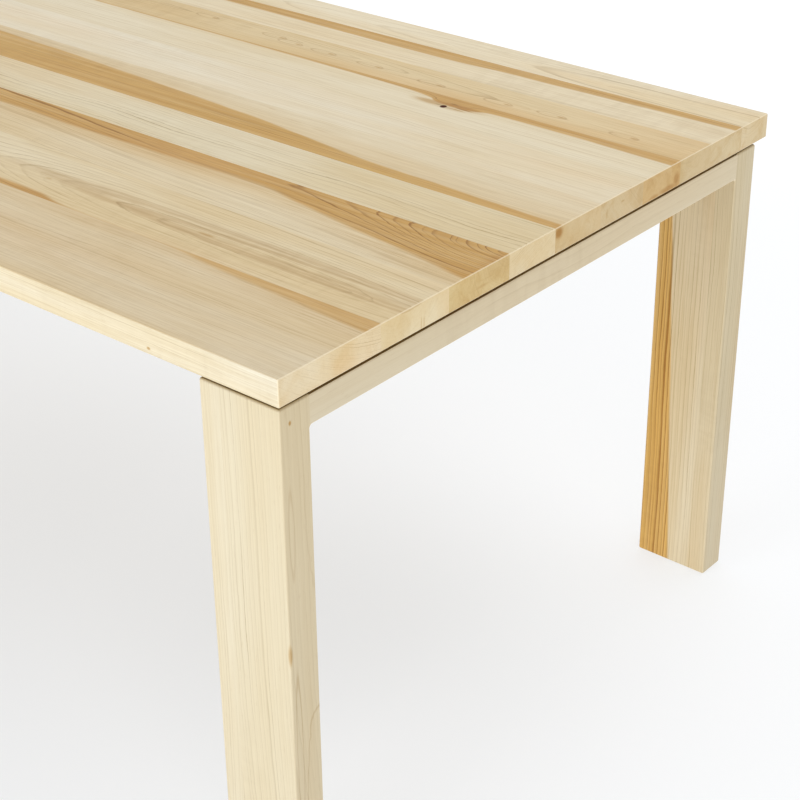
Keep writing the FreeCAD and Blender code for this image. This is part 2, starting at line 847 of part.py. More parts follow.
def build_top_bolts():
    """Bolts, washers and threaded inserts that hold the top to the end rails."""
    seats = bolt_spots("bolt_seat")
    faces = bolt_spots("top_under")
    washer = ring("washer", "(bolt_diameter + bolt_play) / 2", "washer_diameter / 2", "washer_thickness")
    bore = "bolt_diameter / 2 + thread_play"
    insert = ring("top_insert", bore, "insert_diameter / 2", "insert_length")
    hole = drilling("insert_hole", "insert_diameter", "-overshoot", "insert_length + joint_depth_play")
    keep(repeated("top_bolts", socket_bolt(), seats), "top_bolts", len(seats))
    keep(repeated("top_bolt_washers", washer, seats), "top_bolt_washers", len(seats))
    keep(repeated("top_bolt_inserts", insert, faces), "top_bolt_inserts", len(faces))
    slots = repeated("bolt_slots", bolt_slot(), bolt_spots("rail_bottom", QUARTER_TURN))
    return repeated("insert_holes", hole, faces), slots


def build_brackets():
    """Steel angles in the inner corners between the long rails and the end rails."""
    turns = {
        (1, 1): HALF_TURN,
        (1, -1): QUARTER_TURN,
        (-1, 1): THREE_QUARTER_TURN,
        (-1, -1): UP,
    }
    screws = bracket_screw_spots()
    holes = repeated("bracket_screw_holes", screw_hole("bracket_screw"), screws)
    corners = joint_spots("frame_inner_x", "long_inner_y", "rail_mid_z", lambda end, side: turns[end, side])
    blanks = repeated("bracket_blanks", corner_bracket(), corners)
    keep(cut(blanks, holes), "corner_brackets", len(corners))
    heads = repeated("corner_bracket_screws", wood_screw("bracket_screw"), screws)
    keep(heads, "corner_bracket_screws", len(screws))
    return holes


def build_clips():
    """Steel clips with a tongue in the groove of a long rail and a foot under the top."""
    inward = Rotation(Vector(1, 1, 1), 120)
    turns = {-1: inward, 1: HALF_TURN.multiply(inward)}
    clips = clip_spots("long_inner_y + clip_tongue", "clip_bottom", turns)
    blanks = repeated("clip_blanks", top_clip(), clips)
    screws = clip_spots("clip_screw_y", "clip_screw_z", {1: UP, -1: UP})
    holes = repeated("clip_screw_holes", screw_hole("clip_screw"), screws)
    keep(cut(blanks, holes), "top_clips", len(clips))
    keep(repeated("top_clip_screws", wood_screw("clip_screw"), screws), "top_clip_screws", len(screws))
    return holes


def build_feet():
    """A levelling foot under each leg, and the threaded inserts that they turn in."""
    corners = joint_spots("frame_mid_x", "leg_mid_y", "foot_reveal + foot_recess", lambda end, side: UP)
    bore = "stud_diameter / 2 + stud_play"
    insert = ring("leg_insert", bore, "leg_insert_diameter / 2", "leg_insert_length")
    keep(repeated("leg_foot_inserts", insert, corners), "leg_foot_inserts", len(corners))
    for end_name, end in RIGHT_AND_LEFT:
        for side_name, side in FRONT_AND_BACK:
            for make, kind in ((foot_pad, "foot_pad"), (foot_stud, "foot_stud")):
                label = f"{kind}_{side_name}_{end_name}"
                piece = make(label)
                place(piece, f"{end} * frame_mid_x", f"{side} * leg_mid_y", "0")
                keep(piece, label)
    soles = joint_spots("frame_mid_x", "leg_mid_y", "foot_reveal", lambda end, side: UP)
    return repeated("foot_sockets", foot_socket(), soles)


# ---------------------------------------------------------------- the whole table


def build_table():
    mortises = build_tenons()
    long_holes = build_dowels(
        "long_rail_dowels", "long_dowel_reach", "long_dowel_reach", long_dowel_spots()
    )
    cross_holes = build_dowels(
        "cross_rail_dowels", "cross_dowel_seat", "cross_dowel_reach", cross_dowel_spots()
    )
    insert_holes, bolt_slots = build_top_bolts()
    bracket_holes = build_brackets()
    clip_holes = build_clips()
    foot_sockets = build_feet()
    build_top(compound("holes_in_top", [insert_holes, clip_holes]))
    build_end_frames(
        compound("holes_in_legs", [mortises, foot_sockets]),
        compound("holes_in_end_rails", [mortises, long_holes, bracket_holes, bolt_slots]),
    )
    build_long_rails(compound("holes_in_long_rails", [long_holes, cross_holes, bracket_holes]))
    build_cross_rails(cross_holes)
    build_spacers(bolt_slots)


def check_table():
    """Stops before anything is written if a piece is broken."""
    for thing in doc.Objects:
        if "Invalid" in thing.State or "Error" in thing.State:
            raise RuntimeError(f"{thing.Label} did not compute: {thing.State}")
    labels = [thing.Label for thing, _ in nodes]
    if len(set(labels)) != len(labels):
        raise RuntimeError("two pieces share a name")
    for thing, solids in nodes:
        shape = thing.Shape
        if shape.isNull() or not shape.isValid():
            raise RuntimeError(f"{thing.Label} has no valid shape")
        if len(shape.Solids) != solids:
            raise RuntimeError(f"{thing.Label} has {len(shape.Solids)} solids, not {solids}")


def write_table():
    os.makedirs("parts", exist_ok=True)
    for thing, _ in nodes:
        thing.Shape.exportStep(f"parts/{thing.Label}.step")


fill_sheets()
build_table()
doc.recompute()
check_table()
write_table()
print(f"{len(nodes)} pieces written")
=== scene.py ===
"""Looks of a parsons dining table in solid maple: finishes, floor, light and camera."""
import math

import bpy
from mathutils import Euler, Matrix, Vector

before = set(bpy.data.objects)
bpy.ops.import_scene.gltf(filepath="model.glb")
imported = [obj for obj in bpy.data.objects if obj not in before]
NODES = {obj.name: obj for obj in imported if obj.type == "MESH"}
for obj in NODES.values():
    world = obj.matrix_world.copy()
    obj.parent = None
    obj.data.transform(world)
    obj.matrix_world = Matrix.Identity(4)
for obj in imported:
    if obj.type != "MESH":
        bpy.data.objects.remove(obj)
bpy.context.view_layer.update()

MM = 0.001                              # metres in a millimetre
LEAST_SPAN = 1e-6                       # a level curve still needs a span


# ---------------------------------------------------------------- node helpers

def srgb(red, green, blue):
    """A colour picked on the usual 0 to 255 scale, as the linear RGBA that a node wants."""
    levels = [level / 255 for level in (red, green, blue)]
    linear = [c / 12.92 if c <= 0.04045 else ((c + 0.055) / 1.055) ** 2.4 for c in levels]
    return (*linear, 1.0)


class Graph:
    """Adds nodes to one tree. A value is either a number or colour, or another node's output."""

    def __init__(self, tree):
        self.tree = tree

    def node(self, kind, values=None, **settings):
        made = self.tree.nodes.new("ShaderNode" + kind)
        for name, setting in settings.items():
            setattr(made, name, setting)
        for socket, value in (values or {}).items():
            self.feed(made.inputs[socket], value)
        return made

    def feed(self, socket, value):
        if isinstance(value, bpy.types.NodeSocket):
            self.tree.links.new(value, socket)
        else:
            socket.default_value = value

    def math(self, operation, *values, clamp=False):
        made = self.node("Math", dict(enumerate(values)), operation=operation, use_clamp=clamp)
        return made.outputs[0]

    def vector(self, operation, *values):
        return self.node("VectorMath", dict(enumerate(values)), operation=operation).outputs[0]

    def combine(self, x, y, z):
        return self.node("CombineXYZ", {0: x, 1: y, 2: z}).outputs[0]

    def split(self, vector):
        """The outputs of a vector's three parts."""
        return self.node("SeparateXYZ", {0: vector}).outputs

    def length(self, vector):
        return self.node("VectorMath", {0: vector}, operation="LENGTH").outputs["Value"]

    def noise(self, at, scale, detail=2.0, roughness=0.5, distortion=0.0):
        """Noise of about 0 to 1. scale is one number, or one for each axis."""
        if isinstance(scale, tuple):
            at, scale = self.vector("MULTIPLY", at, scale), 1.0
        return self.node("TexNoise", {"Vector": at, "Scale": scale, "Detail": detail,
                                      "Roughness": roughness, "Distortion": distortion}).outputs[0]

    def along_noise(self, at, scale, shift, detail=1.0):
        """Noise of about 0 to 1 that runs along one line."""
        made = self.node("TexNoise", {"W": self.math("ADD", at, shift), "Scale": scale,
                                      "Detail": detail}, noise_dimensions="1D")
        return made.outputs[0]

    def smooth(self, value, low, high, start=0.0, end=1.0):
        """start below low, end above high, and a smooth step between."""
        made = self.node("MapRange", {"Value": value, "From Min": low, "From Max": high,
                                      "To Min": start, "To Max": end},
                         interpolation_type="SMOOTHSTEP")
        return made.outputs[0]

    def curve(self, value, low, high, points):
        """A smooth line through points, pairs of value and result, over low to high."""
        results = [result for _, result in points]
        floor, top = min(results), max(results)
        span = max(top - floor, LEAST_SPAN)
        unit = self.math("DIVIDE", self.math("SUBTRACT", value, low), high - low, clamp=True)
        made = self.node("FloatCurve", {"Value": unit})
        line = made.mapping.curves[0]
        places = [((at - low) / (high - low), (result - floor) / span) for at, result in points]
        while len(line.points) < len(places):
            line.points.new(0.5, 0.5)
        for point, place in zip(line.points, places):
            point.location = place
            point.handle_type = "AUTO_CLAMPED"
        made.mapping.update()
        return self.math("MULTIPLY_ADD", made.outputs[0], span, floor)

    def mix(self, amount, first, second, blend="MIX"):
        made = self.node("Mix", {0: amount, 6: first, 7: second}, data_type="RGBA",
                         blend_type=blend)
        return made.outputs[2]


def new_material(name):
    """An empty node material, and the Graph that fills it."""
    material = bpy.data.materials.new(name)
    material.use_nodes = True
    material.node_tree.nodes.clear()
    return material, Graph(material.node_tree)


def show(g, shader):
    """Makes a shader the surface of its material."""
    g.node("OutputMaterial", {"Surface": shader.outputs[0]}, is_active_output=True)


def new_group(name, inputs, outputs):
    """A node group: its tree, its Graph, and its inner sockets by name, inputs then outputs."""
    tree = bpy.data.node_groups.new(name, "ShaderNodeTree")
    for socket, kind, default in inputs:
        made = tree.interface.new_socket(socket, in_out="INPUT", socket_type="NodeSocket" + kind)
        made.default_value = default
    for socket, kind in outputs:
        tree.interface.new_socket(socket, in_out="OUTPUT", socket_type="NodeSocket" + kind)
    graph = Graph(tree)
    entry = tree.nodes.new("NodeGroupInput")
    leave = tree.nodes.new("NodeGroupOutput")
    return tree, graph, entry.outputs, leave.inputs


# ---------------------------------------------------------------- maple

# Colours. A TINT multiplies the colour that it falls on, the others cover it.
PALE = srgb(228, 217, 186)              # sapwood
HEART = srgb(205, 163, 86)              # heartwood
LINE_TINT = srgb(197, 182, 152)         # growth ring in sapwood
HEART_LINE_TINT = srgb(196, 176, 128)   # growth ring in heartwood
FLECK_TINT = srgb(196, 166, 128)        # short fleck
SHADE_TINT = srgb(241, 236, 225)        # fibre
ZONE_TINT = srgb(248, 239, 220)         # broad darker zone
BLUSH_TINT = srgb(254, 246, 235)        # broad warmer zone
END_TINT = srgb(252, 250, 243)          # board's end
LOOP_TINT = srgb(202, 176, 130)         # line of an eye or flame
OLIVE_TINT = srgb(232, 212, 166)        # rim of a streak, and swirls on a board's end
ARRIS_HIGHLIGHT = srgb(250, 236, 206)        # painted highlight on a rounded edge
MARK = srgb(162, 111, 18)               # middle of a streak
KNOT = srgb(70, 24, 0)                  # heart of a knot
GAP_SHADE = srgb(128, 104, 58)              # painted shade in the shadow gap

# Noises: scales along, across and into the board per metre, detail, roughness, distortion.
WAVER = ((13.0, 70.0, 70.0), 4.0, 0.6)          # growth rings waver by it
PATCHES = ((3.0, 26.0, 26.0), 2.0)              # where rings show, or hardly show
FINE = ((14.0, 640.0, 640.0), 2.0, 0.6)         # finest fibres
STREAKS = ((5.0, 300.0, 300.0), 3.0, 0.6)       # thin streaks of fibres
COARSE = ((2.6, 150.0, 150.0), 3.0, 0.55)       # broad streaks of fibres
FLECKS = ((70.0, 620.0, 620.0), 1.0)
ZONES = ((1.6, 13.0, 13.0), 2.0)
BLUSHES = ((1.1, 9.0, 9.0), 2.0)
CLOUDS = ((2.2, 9.0, 9.0), 1.0)                 # where ripples gather
RIPPLES = ((46.0, 13.0, 13.0), 2.0, 0.6, 0.6)   # figure across the grain
SWIRLS = (42.0, 3.0, 0.65, 0.8)
BAND_WOBBLE = ((7.0, 20.0, 1.0), 3.0)           # edge of a heartwood band
LOOP_WAVER = ((28.0, 60.0, 60.0), 2.0)          # line of an eye or flame

# The values of each noise between which its effect comes in.
PATCH_STEP = (0.3, 0.62)
SWIRL_STEP = (0.38, 0.72)
FLECK_STEP = (0.66, 0.76)
CLOUD_STEP = (0.5, 0.7)
RIPPLE_STEP = (0.35, 0.7)
ZONE_STEP = (0.35, 0.7)
BLUSH_STEP = (0.5, 0.75)
COARSE_STEP, COARSE_SHARE = (0.38, 0.7), 0.30   # a layer of fibres, and its darkest share
STREAK_STEP, STREAK_SHARE = (0.48, 0.70), 0.60
FINE_STEP, FINE_SHARE = (0.38, 0.72), 0.70

# How far noises are moved, so that no two look alike.
SEED_STEPS = (7.31, 3.77, 5.13)         # for each whole seed
BLUSH_SHIFT = (3.1, 8.7, 1.9)
STREAK_SHIFT = (5.3, 2.1, 6.4)
BOW_SHIFT = 40.0
UNEVEN_SHIFT = 11.0

# Growth rings.
SWAY_SCALE, BOW_SCALE = 1.7, 2.3        # the pith's wander across the board and in its depth
WAVER_REACH = 0.0034                    # how far rings waver
UNEVEN_SCALE, UNEVEN_RINGS = 0.37, 2.2  # how the width of the years varies
BOLD_LEAST, BOLD_SPAN = 0.25, 0.9       # strength of the faintest year, and what more it may be
BOLD_POWER = 2.0                        # makes bold years rarer than faint ones
EARLY_END, EARLY_SHARE = 0.9, 0.09      # the slow darkening through a year
LATE_START, LATE_PEAK = 0.74, 0.93      # the dark line that ends it
FAINT_PATCH = 0.2                       # what is left of the rings in a faint patch
FAR, FAINT_FAR = 2.0, 0.3               # spreads from the pith, and what is left of them there

# Heartwood, ends and fibres.
HEART_UNEVEN, HEART_MEAN = 0.8, 0.94    # how much fibres vary the heartwood, and its strength
BAND_WAVES = 0.012                      # how far a band's edge wobbles if the band doesn't say
END_COVER = 0.9                         # how much the end's own colour covers
END_FIBRES, HEART_FIBRES = 0.35, 1.6    # contrast of the fibres on ends and in heartwood

# Surface.
ROUGHNESS = 0.36
FINE_ROUGH, RING_ROUGH, ZONE_ROUGH = 0.10, 0.10, 0.06   # what fibres, rings and zones add
RING_RISE, FINE_RISE, FLECK_RISE = -0.5, 0.35, -0.6     # their part in the bump's height
BUMP, BUMP_DISTANCE = 0.25, 0.0004
GLOSS, KNOT_GLOSS, KNOT_DULL = 0.36, 0.02, 0.8          # a knot is dull from KNOT_DULL up
COAT, COAT_ROUGHNESS = 0.06, 0.3


def maple_group():
    """Maple in board coordinates: growth rings about the pith, fibres, flecks and broad tone.

    From Pith and Pith Depth are the distances to the pith across the board and into it.
    Heart is 0 in sapwood and 1 in heartwood. Mark, Knot and Loop are 1 in the middle of a
    streak, in that of a knot, and on the line of an eye or flame. The side input and End Grain
    are 1 on the board's edges and on its ends; the edges take the side colour, painted lighter
    or darker than the face for how the light falls on them. Two more inputs paint a highlight
    on rounded edges and shade in the shadow gap.
    """
    tree, g, given, result = new_group(
        "maple_wood",
        [("Along", "Float", 0.0), ("Across", "Float", 0.0), ("Deep", "Float", 0.0),
         ("From Pith", "Float", 0.1), ("Pith Depth", "Float", 0.05), ("Lift", "Float", 0.0),
         ("Ring Width", "Float", 0.004), ("Ring Strength", "Float", 0.5),
         ("Ring Spread", "Float", 1.0), ("Wander", "Float", 0.01),
         ("Fleck Strength", "Float", 0.4), ("Mottle", "Float", 0.2), ("Seed", "Float", 0.0),
         ("Heart", "Float", 0.0), ("Mark", "Float", 0.0), ("Knot", "Float", 0.0),
         ("Loop", "Float", 0.0), ("End Grain", "Float", 0.0), ("End Rings", "Float", 0.6),
         ("End Mottle", "Float", 0.2), ("Heart Rings", "Float", 1.5),
         ("Arris Highlight", "Float", 0.0), ("Gap Shade", "Float", 0.0), ("Grain", "Float", 1.0),
         ("Side", "Float", 0.0), ("Sapwood", "Color", PALE), ("Heartwood", "Color", HEART),
         ("Endwood", "Color", PALE), ("Lit Sidewood", "Color", PALE)],
        [("Color", "Color"), ("Roughness", "Float"), ("Height", "Float")])
    along, across, deep, seed = (given[n] for n in ("Along", "Across", "Deep", "Seed"))
    shift = g.combine(*(g.math("MULTIPLY", seed, step) for step in SEED_STEPS))
    at = g.vector("ADD", g.combine(along, across, deep), shift)

    # Distance from the wandering pith, roughened a little across the fibres.
    sway = g.math("SUBTRACT", g.along_noise(along, SWAY_SCALE, seed), 0.5)
    bow = g.along_noise(along, BOW_SCALE, g.math("ADD", seed, BOW_SHIFT))
    bow = g.math("SUBTRACT", bow, 0.5)
    side = g.math("MULTIPLY_ADD", sway, given["Wander"], given["From Pith"])
    depth = g.math("MULTIPLY_ADD", bow, given["Wander"], given["Pith Depth"])
    radius = g.math("SQRT", g.math("ADD", g.math("MULTIPLY", side, side),
                                   g.math("MULTIPLY", depth, depth)))
    waver = g.math("SUBTRACT", g.noise(at, *WAVER), 0.5)
    radius = g.math("ADD", g.math("MULTIPLY_ADD", waver, WAVER_REACH, radius), given["Lift"])

    # Years, each with a slow darkening and a dark line of its own boldness at the end.
    rings = g.math("DIVIDE", radius, given["Ring Width"])
    uneven = g.along_noise(rings, UNEVEN_SCALE, g.math("ADD", seed, UNEVEN_SHIFT))
    rings = g.math("MULTIPLY_ADD", uneven, UNEVEN_RINGS, rings)
    phase = g.math("FRACT", rings)
    year = g.math("FLOOR", rings)
    bold = g.node("TexWhiteNoise", {"W": g.math("ADD", year, seed)},
                  noise_dimensions="1D").outputs[0]
    bold = g.math("MULTIPLY_ADD", g.math("POWER", bold, BOLD_POWER), BOLD_SPAN, BOLD_LEAST)
    early = g.smooth(phase, 0.0, EARLY_END, 0.0, EARLY_SHARE)
    late = g.math("MULTIPLY", g.smooth(phase, LATE_START, LATE_PEAK),
                  g.smooth(phase, LATE_PEAK, 1.0, 1.0, 0.0))
    patch = g.smooth(g.noise(at, *PATCHES), *PATCH_STEP, FAINT_PATCH, 1.0)
    near = g.smooth(g.math("ABSOLUTE", side), given["Ring Spread"],
                    g.math("MULTIPLY", given["Ring Spread"], FAR), 1.0, FAINT_FAR)
    ring = g.math("MULTIPLY", g.math("MULTIPLY", late, bold), g.math("MULTIPLY", patch, near))
    ring = g.math("MULTIPLY", g.math("ADD", ring, early), given["Ring Strength"])
    in_heart = g.smooth(given["Heart"], 0.0, 1.0, 1.0, given["Heart Rings"])
    ring = g.math("MULTIPLY", ring, in_heart)
    on_end = g.smooth(given["End Grain"], 0.0, 1.0, 1.0, given["End Rings"])
    ring = g.math("MULTIPLY", ring, on_end, clamp=True)
    swirl = g.math("MULTIPLY", g.smooth(g.noise(at, *SWIRLS), *SWIRL_STEP), given["End Grain"])
    swirl = g.math("MULTIPLY", swirl, given["End Mottle"])

    # Fibres and short flecks lie along the grain.
    fine = g.noise(at, *FINE)
    coarse = g.noise(at, *COARSE)
    streaks = g.noise(g.vector("ADD", at, STREAK_SHIFT), *STREAKS)
    fleck = g.smooth(g.noise(at, *FLECKS), *FLECK_STEP)
    fleck = g.math("MULTIPLY", fleck, given["Fleck Strength"])

    # Broad zones, and a figure that ripples across the grain.
    zones = g.noise(at, *ZONES)
    blushes = g.noise(g.vector("ADD", at, BLUSH_SHIFT), *BLUSHES)
    cloud = g.smooth(g.noise(at, *CLOUDS), *CLOUD_STEP)
    ripple = g.math("MULTIPLY", g.smooth(g.noise(at, *RIPPLES), *RIPPLE_STEP), cloud)
    ripple = g.math("MULTIPLY", ripple, given["Mottle"])

    heart_shift = g.math("MULTIPLY", g.math("SUBTRACT", coarse, 0.5), HEART_UNEVEN)
    heart = g.math("MULTIPLY", given["Heart"], g.math("ADD", heart_shift, HEART_MEAN), clamp=True)
    # the board's edges take a colour painted lighter or darker than its face for how the light
    # falls on them
    color = g.mix(given["Side"], given["Sapwood"], given["Lit Sidewood"])
    color = g.mix(heart, color, given["Heartwood"])
    color = g.mix(g.math("MULTIPLY", given["End Grain"], END_COVER), color, given["Endwood"])
    zone = g.math("MULTIPLY", g.smooth(zones, *ZONE_STEP), given["Grain"], clamp=True)
    blush = g.math("MULTIPLY", g.smooth(blushes, *BLUSH_STEP), given["Grain"], clamp=True)
    color = g.mix(zone, color, ZONE_TINT, "MULTIPLY")
    color = g.mix(blush, color, BLUSH_TINT, "MULTIPLY")
    on_end = g.smooth(given["End Grain"], 0.0, 1.0, 1.0, END_FIBRES)
    grain = g.math("MULTIPLY", given["Grain"], on_end)
    grain = g.math("MULTIPLY", grain, g.smooth(heart, 0.0, 1.0, 1.0, HEART_FIBRES))
    for texture, step, share in ((coarse, COARSE_STEP, COARSE_SHARE),
                                 (streaks, STREAK_STEP, STREAK_SHARE),
                                 (fine, FINE_STEP, FINE_SHARE)):
        amount = g.math("MULTIPLY", grain, g.smooth(texture, *step, 0.0, share))
        color = g.mix(amount, color, SHADE_TINT, "MULTIPLY")
    color = g.mix(ripple, color, LINE_TINT, "MULTIPLY")
    color = g.mix(swirl, color, OLIVE_TINT, "MULTIPLY")
    line = g.mix(heart, LINE_TINT, HEART_LINE_TINT)
    color = g.mix(ring, color, line, "MULTIPLY")
    color = g.mix(fleck, color, FLECK_TINT, "MULTIPLY")
    color = g.mix(given["Loop"], color, LOOP_TINT, "MULTIPLY")
    color = g.mix(given["Mark"], color, OLIVE_TINT, "MULTIPLY")
    color = g.mix(g.math("MULTIPLY", given["Mark"], given["Mark"]), color, MARK)
    color = g.mix(given["Knot"], color, KNOT)
    color = g.mix(given["End Grain"], color, END_TINT, "MULTIPLY")
    # painted highlight on rounded edges
    color = g.mix(given["Arris Highlight"], color, ARRIS_HIGHLIGHT)
    # painted shade in the shadow gap covers the colour here
    color = g.mix(given["Gap Shade"], color, GAP_SHADE)
    g.feed(result["Color"], color)

    rough = g.math("MULTIPLY_ADD", fine, FINE_ROUGH, ROUGHNESS)
    rough = g.math("MULTIPLY_ADD", ring, RING_ROUGH, rough)
    g.feed(result["Roughness"], g.math("MULTIPLY_ADD", zones, ZONE_ROUGH, rough))
    height = g.math("MULTIPLY_ADD", ring, RING_RISE, g.math("MULTIPLY", fine, FINE_RISE))
    g.feed(result["Height"], g.math("MULTIPLY_ADD", fleck, FLECK_RISE, height))
    return tree


MAPLE = maple_group()

MARK_CORE = 0.25                        # a mark has its full strength up to this share of its size
LOOP_LINE = 0.0011                      # how far from its middle a loop's line fades out
LOOP_SWAY = 0.35                        # how far the line wavers, as a share of the loop's size


def reach_from(g, place, middle, half):
    """Distance from a middle, as a share of the half sizes along, across and into the board."""
    inverse = tuple(1 / size for size in half)
    return g.length(g.vector("MULTIPLY", g.vector("SUBTRACT", place, middle), inverse))


def mark_mask(g, place, mark):
    """Soft-edged mark in the wood: its middle, its half sizes and its strength."""
    middle, half, strength = mark
    return g.smooth(reach_from(g, place, middle, half), MARK_CORE, 1.0, strength, 0.0)


def loop_mask(g, place, loop):
    """Thin wavering outline of a flame or eye in the figure, given as mark_mask takes it."""
    middle, half, strength = loop
    waver = g.math("SUBTRACT", g.noise(place, *LOOP_WAVER), 0.5)
    reach = g.math("MULTIPLY_ADD", waver, LOOP_SWAY, reach_from(g, place, middle, half))
    off_line = g.math("ABSOLUTE", g.math("SUBTRACT", reach, 1.0))
    return g.smooth(off_line, 0.0, LOOP_LINE / min(half[1], half[2]), strength, 0.0)


# Parts of a unit normal between which a surface starts to count as something.
FACING = (0.5, 0.9)                     # as looking along an axis
FLAT = (0.86, 0.995)                    # as flat and not rounded
TOWARDS_END = (0.1, 0.5)                # as an edge round one of the table's end faces, where a highlight is painted
LEVEL = (0.85, 0.98)                    # as level

# Heights above the level given to a board for its painted gap shade, in metres, between which that
# painted shade comes in.
GAP_SHADE_FADE = (0.0, 0.002)               # on level faces
SHADE_RIM_FADE, SHADE_RIM_STRENGTH = (0.0005, 0.005), 0.70     # on the others, painted shade that grows towards the gap just under it, and its strength


def maple(name, axes, start, pith, depth, seed, ring=4.0, rings=0.5, spread=1.0, wander=0.012,
          fleck=0.12, mottle=0.12, grain=1.0, arris_highlight=0.5, end_rings=0.6, end_mottle=0.2,
          heart_rings=1.8, sapwood=PALE, heartwood=HEART, endwood=None, lit_sidewood=None,
          band=None, marks=(), knots=(), loops=(), lift=None, gap_shade_above=None):
    """One board's wood. Lengths are in metres, but for ring.

    axes           the frame's axes that run along, across and into the board, such as "xyz"
    start          where each is measured from, and its sign, as ((x, 1), (y, 1), (z, -1))
    pith           (along, across) points of the pith's line, or one number
    depth          (along, distance) points of its depth below the face, or one number
    ring, rings    width of a growth ring in millimetres, and how strongly the rings show
    spread         distance from the pith beyond which the rings grow faint
    wander         how far the pith strays from its line
    fleck, mottle  strength of the flecks, and of the ripples across the grain
    grain          contrast of the fibres
    arris_highlight how strong the painted highlight is on the rounded edges of the board's ends
    end_rings      how much of the rings' strength shows on the board's ends
    end_mottle     how strong the olive swirls on the board's ends are
    heart_rings    how many times stronger the rings are in the heartwood
    endwood        colour of the board's ends, if they differ from its sapwood
    lit_sidewood   colour of the sapwood on the board's edges, painted lighter or darker than its face for how the light falls there
    band           heartwood on one side of an edge: dict(edge, side, soft), with the edge's
                   (along, across) points, and if wanted wobble, slant, strength and halo
    marks, knots   brown streaks, and dark hearts of knots, as mark_mask takes them
    loops          eyes and flames in the figure, as loop_mask takes them
    lift           a knot that pushes the rings aside, as mark_mask takes it
    gap_shade_above height above which shade is painted in the shadow gap: fully on faces that look
    up, and growing towards the gap on the others
    """
    material, g = new_material(name)
    coordinates = g.split(g.node("TexCoord").outputs["Object"])
    along, across, deep = (
        g.math("MULTIPLY", g.math("SUBTRACT", coordinates["xyz".index(axis)], origin), sign)
        for axis, (origin, sign) in zip(axes, start))
    place = g.combine(along, across, deep)

    def line(points):
        if isinstance(points, (int, float)):
            return points
        return g.curve(along, points[0][0], points[-1][0], points)

    def strongest(spots, mask=mark_mask):
        total = 0.0
        for spot in spots:
            made = mask(g, place, spot)
            total = made if isinstance(total, float) else g.math("MAXIMUM", total, made)
        return total

    heart = 0.0
    if band:
        edge = g.math("MULTIPLY_ADD", deep, band.get("slant", 0.0), line(band["edge"]))
        wobble = g.noise(g.combine(along, across, seed), *BAND_WOBBLE)
        wobble = g.math("SUBTRACT", wobble, 0.5)
        gap = g.math("MULTIPLY", g.math("SUBTRACT", across, edge), band["side"])
        gap = g.math("MULTIPLY_ADD", wobble, band.get("wobble", BAND_WAVES), gap)
        soft, strength = band["soft"], band.get("strength", 1.0)
        heart = g.smooth(gap, -soft / 2, soft / 2, 0.0, strength)
        if "halo" in band:
            reach, faint = band["halo"]
            heart = g.math("MAXIMUM", heart, g.smooth(gap, -reach, 0.0, 0.0, faint))

    normal = g.vector("ABSOLUTE", g.node("NewGeometry").outputs["Normal"])
    facing = g.split(normal)
    end_grain = g.smooth(facing["xyz".index(axes[0])], *FACING)
    # Edges along the board get their own colour, painted for how light falls there.
    lit_side = g.smooth(facing["xyz".index(axes[1])], *FACING)
    # A highlight is painted on rounded edges that turn towards the table's end faces.
    flattest = g.math("MAXIMUM", facing[0], g.math("MAXIMUM", facing[1], facing[2]))
    edge_highlight = g.smooth(flattest, *FLAT, arris_highlight, 0.0)
    edge_highlight = g.math("MULTIPLY", edge_highlight, g.smooth(facing[0], *TOWARDS_END))
    # Painted shade in the shadow gap: faces that look up darken fully, and the faces just under the
    # gap darken towards it.
    gap_shade = 0.0
    if gap_shade_above:
        above = g.smooth(coordinates[2], *(gap_shade_above + rise for rise in GAP_SHADE_FADE))
        gap_shade = g.math("MULTIPLY", above, g.smooth(facing[2], *LEVEL))
        rim = g.smooth(coordinates[2], *(gap_shade_above + rise for rise in SHADE_RIM_FADE), 0.0,
                       SHADE_RIM_STRENGTH)
        gap_shade = g.math("MAXIMUM", gap_shade, g.math("MULTIPLY", rim, rim))

    wood = g.node("Group", node_tree=MAPLE)
    values = {"Along": along, "Across": across, "Deep": deep,
              "From Pith": g.math("SUBTRACT", across, line(pith)),
              "Pith Depth": g.math("ADD", deep, line(depth)),
              "Lift": mark_mask(g, place, lift) if lift else 0.0,
              "Ring Width": ring * MM, "Ring Strength": rings, "Ring Spread": spread,
              "Wander": wander, "Fleck Strength": fleck, "Mottle": mottle, "Seed": seed,
              "Heart": heart, "Mark": strongest(marks), "Knot": strongest(knots),
              "Loop": strongest(loops, loop_mask), "End Grain": end_grain,
              "End Rings": end_rings, "End Mottle": end_mottle, "Heart Rings": heart_rings,
              "Side": lit_side, "Arris Highlight": edge_highlight, "Gap Shade": gap_shade, "Grain": grain,
              "Sapwood": sapwood, "Heartwood": heartwood, "Endwood": endwood or sapwood,
              "Lit Sidewood": lit_sidewood or sapwood}
    for socket, value in values.items():
        g.feed(wood.inputs[socket], value)
    gloss = GLOSS
    if knots:
        gloss = g.smooth(strongest(knots), 0.0, KNOT_DULL, GLOSS, KNOT_GLOSS)
    bump = g.node("Bump", {"Strength": BUMP, "Distance": BUMP_DISTANCE,
                           "Height": wood.outputs["Height"]})
    show(g, g.node("BsdfPrincipled", {
        "Base Color": wood.outputs["Color"], "Roughness": wood.outputs["Roughness"],
        "Normal": bump.outputs["Normal"], "Specular IOR Level": gloss, "Coat Weight": COAT,
        "Coat Roughness": COAT_ROUGHNESS}))
    return material


def paint(node, material):
    """Puts one material in every slot of a CAD node."""
    piece = NODES[node]
    if not piece.material_slots:
        piece.data.materials.append(material)
    for slot in piece.material_slots:
        slot.material = material


# ---------------------------------------------------------------- top staves

TABLE_HEIGHT = 0.75
TOP_AXES = "xyz"
TOP_START = ((0.0, 1.0), (0.0, 1.0), (TABLE_HEIGHT, -1.0))      # z down from the top's face

